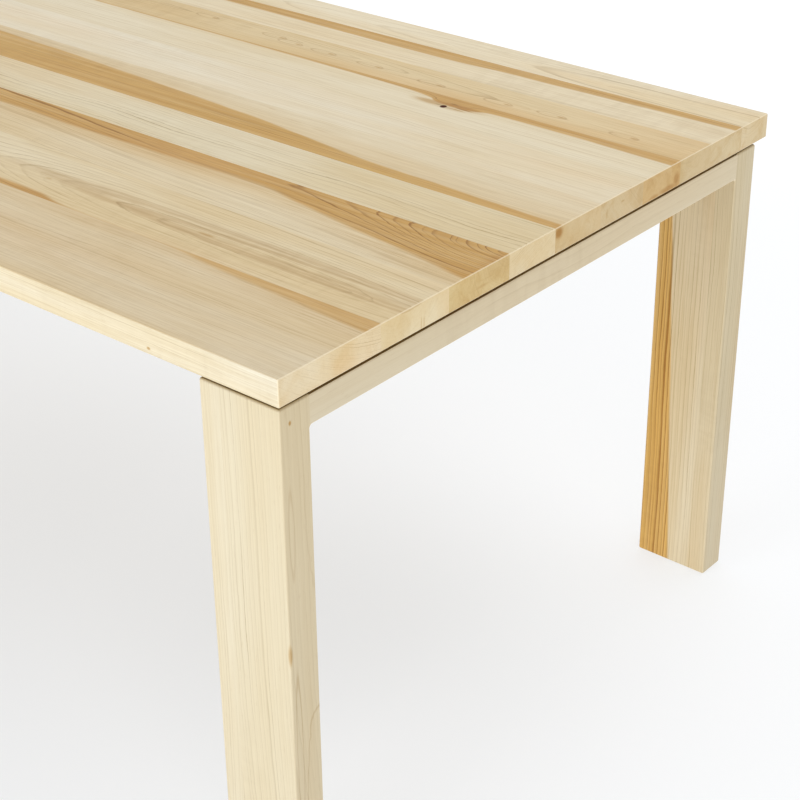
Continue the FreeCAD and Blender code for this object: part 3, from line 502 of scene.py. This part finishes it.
# Small brown chevrons on stave 8, along and across, each with an eye just behind it.
CHEVRONS = ((0.090, 0.328), (0.243, 0.321), (0.284, 0.313), (0.354, 0.311), (0.449, 0.309),
            (0.571, 0.303), (0.695, 0.301), (0.784, 0.307), (0.908, 0.302))
CHEVRON_HALF, CHEVRON_STRENGTH = (0.009, 0.0030, 0.02), 0.60
EYE_HALF, EYE_STRENGTH, EYE_BACK = (0.024, 0.0065, 0.02), 0.50, 0.016

# A mark at 1.0 along shows on the right end face, one at -0.5 across on the front edge.
STAVES = {
    "top_stave_01": dict(
        seed=1.0, pith=-0.30, depth=0.23, ring=3.0, rings=0.52, end_rings=1.0, wander=0.012,
        # its front edge is painted paler, as lit from the front
        sapwood=srgb(224, 208, 177), lit_sidewood=srgb(233, 225, 205),
        endwood=srgb(234, 219, 190), heartwood=srgb(209, 167, 88),
        band=dict(edge=[(-1.0, -0.333), (0.62, -0.333), (0.68, -0.336), (0.731, -0.343),
                        (1.0, -0.362)], side=1, soft=0.014, wobble=0.004, strength=0.8,
                  halo=(0.035, 0.22)),
        marks=[((0.804, -0.5, 0.027), (0.0045, 0.01, 0.0028), 0.75)]),
    "top_stave_02": dict(
        seed=2.0, pith=[(-1.0, -0.262), (0.386, -0.279), (1.0, -0.300)],
        depth=[(-1.0, 0.110), (0.10, 0.066), (0.85, 0.028), (1.0, 0.036)],
        ring=4.6, rings=0.7, end_rings=0.15, spread=0.05, wander=0.006, sapwood=srgb(230, 215, 182),
        loops=[((0.720, -0.272, 0.0), (0.334, 0.014, 0.003), 0.32),
               ((0.800, -0.277, 0.0), (0.350, 0.015, 0.003), 0.40),
               ((0.919, -0.284, 0.0), (0.360, 0.014, 0.003), 0.45)],
        band=dict(edge=[(-1.0, -0.335), (0.25, -0.334), (0.347, -0.322), (0.420, -0.323),
                        (0.500, -0.334), (1.0, -0.336)], side=-1, soft=0.008, wobble=0.004),
        marks=[((0.681, -0.284, 0.0), (0.020, 0.004, 0.01), 0.5),
               ((0.568, -0.211, 0.0), (0.007, 0.003, 0.01), 0.4),
               ((0.395, -0.285, 0.0), (0.009, 0.003, 0.01), 0.35),
               ((1.0, -0.264, 0.028), (0.02, 0.0018, 0.016), 0.35),
               ((1.0, -0.259, 0.028), (0.02, 0.0018, 0.014), 0.35)]),
    "top_stave_03": dict(
        seed=3.0, pith=[(-1.0, -0.050), (0.10, -0.070), (0.60, -0.099), (1.0, -0.101)],
        depth=[(-1.0, 0.050), (0.55, 0.060), (1.0, 0.006)], ring=4.2, rings=0.85, wander=0.002,
        sapwood=srgb(229, 214, 182), heartwood=srgb(204, 160, 76), endwood=srgb(217, 196, 147),
        end_rings=0.15, end_mottle=0.5, heart_rings=1.5,
        marks=[((1.0, -0.120, 0.006), (0.02, 0.052, 0.030), 0.30),
               ((1.0, -0.122, 0.010), (0.02, 0.030, 0.0022), 0.36),
               ((1.0, -0.136, 0.015), (0.02, 0.026, 0.0018), 0.36),
               ((1.0, -0.150, 0.022), (0.02, 0.022, 0.0030), 0.32)],
        band=dict(edge=[(-1.0, -0.132), (-0.3, -0.142), (0.138, -0.139), (0.390, -0.136),
                        (0.562, -0.130), (0.693, -0.142), (0.795, -0.157), (1.0, -0.187)],
                  side=1, soft=0.014, wobble=0.010, slant=-0.9, halo=(0.055, 0.25))),
    "top_stave_04": dict(
        seed=4.0, pith=-0.29, depth=0.50, ring=3.6, rings=0.9, wander=0.016,
        sapwood=srgb(229, 217, 187), endwood=srgb(230, 217, 190)),
    "top_stave_05": dict(
        seed=5.0, pith=-0.09, depth=0.035, ring=5.5, rings=0.4, wander=0.01,
        sapwood=srgb(228, 213, 181), heartwood=srgb(207, 165, 80), endwood=srgb(211, 189, 147),
        end_mottle=0.35,
        band=dict(edge=[(-1.0, 0.060), (-0.5, 0.083), (-0.119, 0.071), (0.002, 0.068),
                        (0.327, 0.052), (0.421, 0.046), (0.515, 0.036), (0.610, 0.025),
                        (0.707, 0.018), (1.0, 0.008)], side=-1, soft=0.007, wobble=0.008,
                  slant=-0.3, halo=(0.06, 0.20)),
        marks=[((0.446, 0.082, 0.0), (0.012, 0.002, 0.01), 0.3),
               ((0.501, 0.066, 0.0), (0.026, 0.0016, 0.01), 0.3),
               ((0.557, 0.061, 0.0), (0.024, 0.0016, 0.01), 0.3),
               ((1.0, 0.001, 0.008), (0.02, 0.012, 0.011), 0.90)]),
    "top_stave_06": dict(
        seed=6.0, pith=0.40, depth=0.20, ring=4.0, rings=0.45, wander=0.02, grain=0.8,
        sapwood=srgb(235, 225, 202), endwood=srgb(208, 187, 147), end_mottle=0.5,
        marks=[((1.0, 0.105, 0.018), (0.02, 0.0015, 0.012), 0.50),
               ((1.0, 0.140, 0.012), (0.02, 0.006, 0.002), 0.50)]),
    "top_stave_07": dict(
        seed=7.0, pith=0.10, depth=0.16, ring=4.0, rings=0.45, wander=0.01, grain=0.8,
        sapwood=srgb(232, 220, 192), heartwood=srgb(203, 159, 72), endwood=srgb(208, 176, 118),
        end_mottle=0.6,
        band=dict(edge=[(-1.0, 0.262), (-0.5, 0.272), (-0.126, 0.272), (0.022, 0.272),
                        (0.197, 0.271), (0.372, 0.269), (0.504, 0.266), (0.592, 0.258),
                        (0.635, 0.246), (0.690, 0.256), (0.727, 0.258), (1.0, 0.253)],
                  side=1, soft=0.005, wobble=0.003),
        marks=[((0.648, 0.250, 0.0), (0.062, 0.012, 0.02), 0.62),
               ((0.604, 0.2445, 0.0), (0.050, 0.012, 0.02), 0.66),
               ((0.640, 0.240, 0.0), (0.050, 0.010, 0.02), 0.35),
               ((0.660, 0.246, 0.0), (0.028, 0.0034, 0.02), 1.00),
               ((0.652, 0.240, 0.0), (0.024, 0.0026, 0.02), 0.80),
               ((1.0, 0.245, 0.030), (0.03, 0.030, 0.006), 0.62),
               ((1.0, 0.266, 0.022), (0.03, 0.010, 0.013), 0.62),
               ((1.0, 0.215, 0.031), (0.03, 0.018, 0.004), 0.45)],
        knots=[((0.629, 0.2397, 0.0), (0.0062, 0.0062, 0.02), 3.0),
               ((0.637, 0.2553, 0.0), (0.010, 0.0022, 0.02), 0.45),
               ((0.637, 0.2393, 0.0), (0.009, 0.0020, 0.02), 0.35),
               ((0.619, 0.2412, 0.0), (0.009, 0.0020, 0.02), 0.30)],
        lift=((0.632, 0.246, 0.0), (0.070, 0.032, 0.1), 0.010)),
    "top_stave_08": dict(
        seed=8.0, pith=[(-1.0, 0.345), (0.09, 0.328), (0.90, 0.302), (1.0, 0.300)],
        depth=[(-1.0, 0.004), (0.09, 0.014), (1.0, 0.040)], ring=2.6, rings=0.6, spread=0.014,
        wander=0.003, mottle=0.14, sapwood=srgb(225, 204, 160), endwood=srgb(213, 199, 166),
        end_mottle=0.3,
        marks=[((x, y, 0.0), CHEVRON_HALF, CHEVRON_STRENGTH) for x, y in CHEVRONS],
        loops=[((x - EYE_BACK, y, 0.0), EYE_HALF, EYE_STRENGTH) for x, y in CHEVRONS]),
    "top_stave_09": dict(
        seed=9.0, pith=0.30, depth=0.12, ring=4.0, rings=0.4, wander=0.012, mottle=0.14,
        sapwood=srgb(233, 218, 186), heartwood=srgb(202, 157, 68), endwood=srgb(213, 193, 153),
        end_mottle=0.45,
        band=dict(edge=[(-1.0, 0.398), (-0.4, 0.408), (0.064, 0.406), (0.297, 0.403),
                        (0.466, 0.401), (0.611, 0.407), (0.739, 0.409), (0.825, 0.411),
                        (1.0, 0.414)], side=1, soft=0.005, wobble=0.003, slant=0.5),
        marks=[((0.965, 0.390, 0.0), (0.09, 0.024, 0.02), 0.16)]),
    "top_stave_10": dict(
        seed=10.0, pith=[(-1.0, 0.47), (1.0, 0.455)], depth=[(-1.0, 0.08), (1.0, 0.03)],
        ring=4.4, rings=0.7, spread=0.02, wander=0.008, sapwood=srgb(237, 225, 197),
        endwood=srgb(220, 204, 172), end_mottle=0.45),
}

for stave, wood in STAVES.items():
    paint(stave, maple(stave, TOP_AXES, TOP_START, **wood))


# ---------------------------------------------------------------- legs and rails

FROM_ORIGIN = ((0.0, 1.0), (0.0, 1.0), (0.0, 1.0))
LEG_AXES = "zxy"
LEG_FACE = {"front": -0.490, "back": 0.442}     # y of the face that looks to -y
GAP_SHADE_ABOVE = 0.70                            # painted shade of the shadow gap starts just under the tops of the legs and end rails
# strength of the painted highlight on the legs' rounded edges
LEG_ARRIS_HIGHLIGHT = 0.12

LEGS = {
    "leg_front_right_wide_stave": dict(
        seed=21.0, pith=[(0.0, 0.884), (0.30, 0.870), (0.72, 0.862)], depth=0.050, ring=4.6,
        rings=0.75, spread=0.060, wander=0.004, grain=0.35, sapwood=srgb(220, 208, 180),
        lit_sidewood=srgb(212, 198, 167),
        # its faces that look along the table's length are painted darker, as shade
        marks=[((0.383, 0.990, 0.001), (0.022, 0.004, 0.005), 0.64),
               ((0.683, 0.990, 0.016), (0.0045, 0.01, 0.003), 0.82)],
        loops=[((0.541, 0.990, 0.012), (0.053, 0.020, 0.0043), 0.25),
               ((0.680, 0.990, 0.048), (0.230, 0.020, 0.0154), 0.17),
               ((0.235, 0.990, 0.011), (0.108, 0.020, 0.0050), 0.39),
               ((0.170, 0.990, 0.048), (0.123, 0.020, 0.0260), 0.36)]),
    "leg_front_right_narrow_stave": dict(
        seed=22.0, pith=0.70, depth=0.12, ring=4.0, rings=0.5, mottle=0.45, grain=0.5,
        sapwood=srgb(222, 211, 185)),
    "leg_back_right_wide_stave": dict(
        seed=23.0, pith=0.81, depth=0.05, ring=5.4, rings=1.0, wander=0.004, grain=0.8,
        heart_rings=4.2, sapwood=srgb(222, 208, 179), heartwood=srgb(221, 180, 102),
        band=dict(edge=[(0.0, 0.925), (0.35, 0.905), (0.70, 0.886)], side=-1, soft=0.005,
                  wobble=0.004)),
    "leg_back_right_narrow_stave": dict(
        seed=24.0, pith=0.90, depth=0.04, ring=4.0, rings=0.8, grain=0.6,
        # its faces that look along the table's length are painted darker, as shade
        sapwood=srgb(218, 205, 176), lit_sidewood=srgb(209, 197, 168)),
    "leg_front_left_wide_stave": dict(seed=25.0, pith=-0.80, depth=0.03, ring=3.6, rings=0.45),
    "leg_front_left_narrow_stave": dict(seed=26.0, pith=-0.90, depth=0.04, ring=4.0, rings=0.4),
    "leg_back_left_wide_stave": dict(seed=27.0, pith=-0.75, depth=0.03, ring=3.8, rings=0.45),
    "leg_back_left_narrow_stave": dict(seed=28.0, pith=-0.92, depth=0.05, ring=4.0, rings=0.4),
}

for stave, wood in LEGS.items():
    face = LEG_FACE["front" if "front" in stave else "back"]
    paint(stave, maple(stave, LEG_AXES, (*FROM_ORIGIN[:2], (face, 1.0)), arris_highlight=LEG_ARRIS_HIGHLIGHT,
                       gap_shade_above=GAP_SHADE_ABOVE, **wood))

RAIL_MAPLE = srgb(214, 201, 173)
INNER_MAPLE = srgb(226, 211, 180)
BEECH = srgb(214, 182, 142)

END_RAIL = dict(axes="yzx", pith=0.62, ring=3.8, rings=0.16, grain=0.35, sapwood=RAIL_MAPLE,
                gap_shade_above=GAP_SHADE_ABOVE)
LONG_RAIL = dict(axes="xzy", pith=0.60, depth=0.2, ring=4.0, rings=0.4, sapwood=INNER_MAPLE)
CROSS_RAIL = dict(axes="yzx", pith=0.62, depth=0.3, ring=4.0, rings=0.4, sapwood=INNER_MAPLE)
PEG = dict(pith=0.5, depth=0.1, ring=2.5, rings=0.4, fleck=0.9, mottle=0.0, sapwood=BEECH)

RAILS_AND_PEGS = {
    "end_rail_right": dict(seed=31.0, depth=-0.80, **END_RAIL),
    "end_rail_left": dict(seed=32.0, depth=0.80, **END_RAIL),
    "long_rail_front": dict(seed=41.0, **LONG_RAIL),
    "long_rail_back": dict(seed=42.0, **LONG_RAIL),
    "cross_rail_left": dict(seed=51.0, **CROSS_RAIL),
    "cross_rail_middle": dict(seed=52.0, **CROSS_RAIL),
    "cross_rail_right": dict(seed=53.0, **CROSS_RAIL),
    "end_rail_loose_tenons": dict(seed=61.0, axes="yzx", **PEG),
    "long_rail_dowels": dict(seed=62.0, axes="xyz", **PEG),
    "cross_rail_dowels": dict(seed=63.0, axes="yxz", **PEG),
}

for node, wood in RAILS_AND_PEGS.items():
    paint(node, maple(node, start=FROM_ORIGIN, **wood))


# ---------------------------------------------------------------- other materials

GRIT = (900.0, 2.0, 0.6)                # noise, with its detail and roughness
BLOTCHES = (3.0, 0.6)                   # detail and roughness of the broad noise
GRIT_SHARE = 0.4                        # the grit's share in the tone, the blotches have the rest
GRIT_DEPTH = 0.0002
TONE_STEP, ROUGH_STEP = (0.3, 0.7), (0.25, 0.75)


def shaded(name, dark, light, rough, scales=(40.0, 40.0, 40.0), metal=0.0, bump=0.2):
    """A surface whose colour and roughness vary between two values, with a fine grit."""
    material, g = new_material(name)
    at = g.node("TexCoord").outputs["Object"]
    broad = g.noise(at, scales, *BLOTCHES)
    fine = g.noise(at, *GRIT)
    tone = g.math("MULTIPLY_ADD", fine, GRIT_SHARE, g.math("MULTIPLY", broad, 1.0 - GRIT_SHARE))
    raised = g.node("Bump", {"Strength": bump, "Distance": GRIT_DEPTH, "Height": fine})
    show(g, g.node("BsdfPrincipled", {
        "Base Color": g.mix(g.smooth(tone, *TONE_STEP), dark, light),
        "Roughness": g.smooth(tone, *ROUGH_STEP, *rough), "Metallic": metal,
        "Normal": raised.outputs["Normal"]}))
    return material


ZINC = shaded("zinc_plated_steel", srgb(150, 152, 156), srgb(196, 198, 200), (0.28, 0.48),
              metal=1.0)
BLACK = shaded("black_oxide_steel", srgb(22, 22, 24), srgb(48, 48, 50), (0.35, 0.55), metal=0.7)
BRASS = shaded("insert_brass", srgb(176, 140, 74), srgb(214, 180, 108), (0.25, 0.45), metal=1.0)
PLASTIC = shaded("foot_plastic", srgb(24, 24, 25), srgb(44, 44, 45), (0.45, 0.65), bump=0.35)
SPACER = shaded("stained_spacer", srgb(104, 80, 44), srgb(134, 106, 62), (0.55, 0.75),
                (60.0, 6.0, 60.0), bump=0.35)

for end in ("right", "left"):
    paint(f"spacer_strip_{end}", SPACER)
for node in ("corner_brackets", "corner_bracket_screws", "top_bolt_washers", "top_clips",
             "top_clip_screws"):
    paint(node, ZINC)
paint("top_bolts", BLACK)
for node in ("top_bolt_inserts", "leg_foot_inserts"):
    paint(node, BRASS)
for corner in ("front_right", "back_right", "front_left", "back_left"):
    paint(f"foot_pad_{corner}", PLASTIC)
    paint(f"foot_stud_{corner}", ZINC)


# ---------------------------------------------------------------- floor, light, camera

FLOOR_HALF = 14.0
FLOOR_GREY, FLOOR_ROUGHNESS = (0.33, 0.33, 0.33, 1.0), 0.9
FLOOR_TINT = (0.955, 0.975, 1.0, 1.0)

# The floor's own light grows along two directions, from and to these distances in metres.
RIGHTWARD, RIGHT_SPAN = (0.77, 0.64), (-1.5, 2.5)
BACKWARD, BACK_SPAN = (-0.64, 0.77), (1.0, 2.7)
GLOW_LEFT, GLOW_RIGHT, GLOW_BEHIND = 0.54, 0.735, 0.12
PAINTED_SHADOWS = (((0.70, 0.05, 0.0), 0.55, 0.075),         # middle, reach and depth of painted shadows under the table
          ((0.15, 0.0, 0.0), 0.90, 0.075))

# The world is white. Its strength falls from the walls to the ceiling between two heights.
WALL_LIGHT, CEILING_LIGHT, WALL_SPAN = 0.95, 0.62, (0.05, 0.9)
PURE = (1.0, 1.0, 1.0, 1.0)

# Softboxes: place, the point it looks at, width, height, watts and tint.
COOL, WHITE, WARM = (0.92, 0.965, 1.0), (1.0, 1.0, 1.0), (1.0, 0.98, 0.95)
SOFTBOXES = {
    "key_front": ((-0.4, -4.6, 1.8), (0.3, 0.0, 0.5), 3.4, 2.4, 90.0, COOL),
    "fill_end": ((4.0, -2.6, 1.3), (1.0, -0.3, 0.6), 1.8, 1.8, 22.5, WHITE),
    "fill_above": ((0.4, 2.0, 3.6), (0.2, 0.4, 0.7), 4.0, 4.0, 34.0, WARM),
}

LENS, SENSOR = 85.0, 36.0               # millimetres
CAMERA_PLACE = (2.20697739, -1.73755767, 1.68477023)
CAMERA_TURN = (60.891, 0.494, 39.795)   # degrees


def floor_material():
    """Pale studio floor that lights itself a little, so shadows on it stay faint."""
    material, g = new_material("studio_floor")
    x, y, _ = g.split(g.node("TexCoord").outputs["Object"])

    def distance(direction):
        return g.math("MULTIPLY_ADD", x, direction[0], g.math("MULTIPLY", y, direction[1]))

    glow = g.math("ADD", g.smooth(distance(RIGHTWARD), *RIGHT_SPAN, GLOW_LEFT, GLOW_RIGHT),
                  g.smooth(distance(BACKWARD), *BACK_SPAN, 0.0, GLOW_BEHIND))
    # painted shadows: the floor's own light is taken down in pools under the table
    for middle, reach, depth in PAINTED_SHADOWS:
        far = g.length(g.vector("SUBTRACT", g.combine(x, y, 0.0), middle))
        glow = g.math("SUBTRACT", glow, g.smooth(far, 0.0, reach, depth, 0.0))
    show(g, g.node("BsdfPrincipled", {
        "Base Color": FLOOR_GREY, "Roughness": FLOOR_ROUGHNESS,
        "Emission Color": FLOOR_TINT, "Emission Strength": glow}))
    return material


def studio_world():
    """Even studio walls, brighter at eye level than overhead."""
    world = bpy.data.worlds.new("studio")
    world.use_nodes = True
    world.node_tree.nodes.clear()
    g = Graph(world.node_tree)
    height = g.split(g.node("TexCoord").outputs["Generated"])[2]
    bright = g.smooth(height, *WALL_SPAN, WALL_LIGHT, CEILING_LIGHT)
    back = g.node("Background", {"Color": PURE, "Strength": bright})
    g.node("OutputWorld", {"Surface": back.outputs[0]})
    return world


def add(name, data):
    """Puts a new object with this data in the scene."""
    made = bpy.data.objects.new(name, data)
    bpy.context.scene.collection.objects.link(made)
    return made


mesh = bpy.data.meshes.new("studio_floor")
mesh.from_pydata([(-FLOOR_HALF, -FLOOR_HALF, 0.0), (FLOOR_HALF, -FLOOR_HALF, 0.0),
                  (FLOOR_HALF, FLOOR_HALF, 0.0), (-FLOOR_HALF, FLOOR_HALF, 0.0)],
                 [], [(0, 1, 2, 3)])
mesh.materials.append(floor_material())
floor = add("studio_floor", mesh)

bpy.context.scene.world = studio_world()

for name, (place, aim, width, height, watts, tint) in SOFTBOXES.items():
    light = bpy.data.lights.new(name, "AREA")
    light.shape, light.color = "RECTANGLE", tint
    light.size, light.size_y, light.energy = width, height, watts
    lamp = add(name, light)
    lamp.location = place
    lamp.rotation_euler = (Vector(aim) - Vector(place)).to_track_quat("-Z", "Y").to_euler()

lens = bpy.data.cameras.new("camera")
lens.lens, lens.sensor_width = LENS, SENSOR
camera = add("camera", lens)
camera.location = CAMERA_PLACE
camera.rotation_euler = Euler([math.radians(angle) for angle in CAMERA_TURN])
bpy.context.scene.camera = camera
bpy.context.scene.view_settings.view_transform = "Standard"
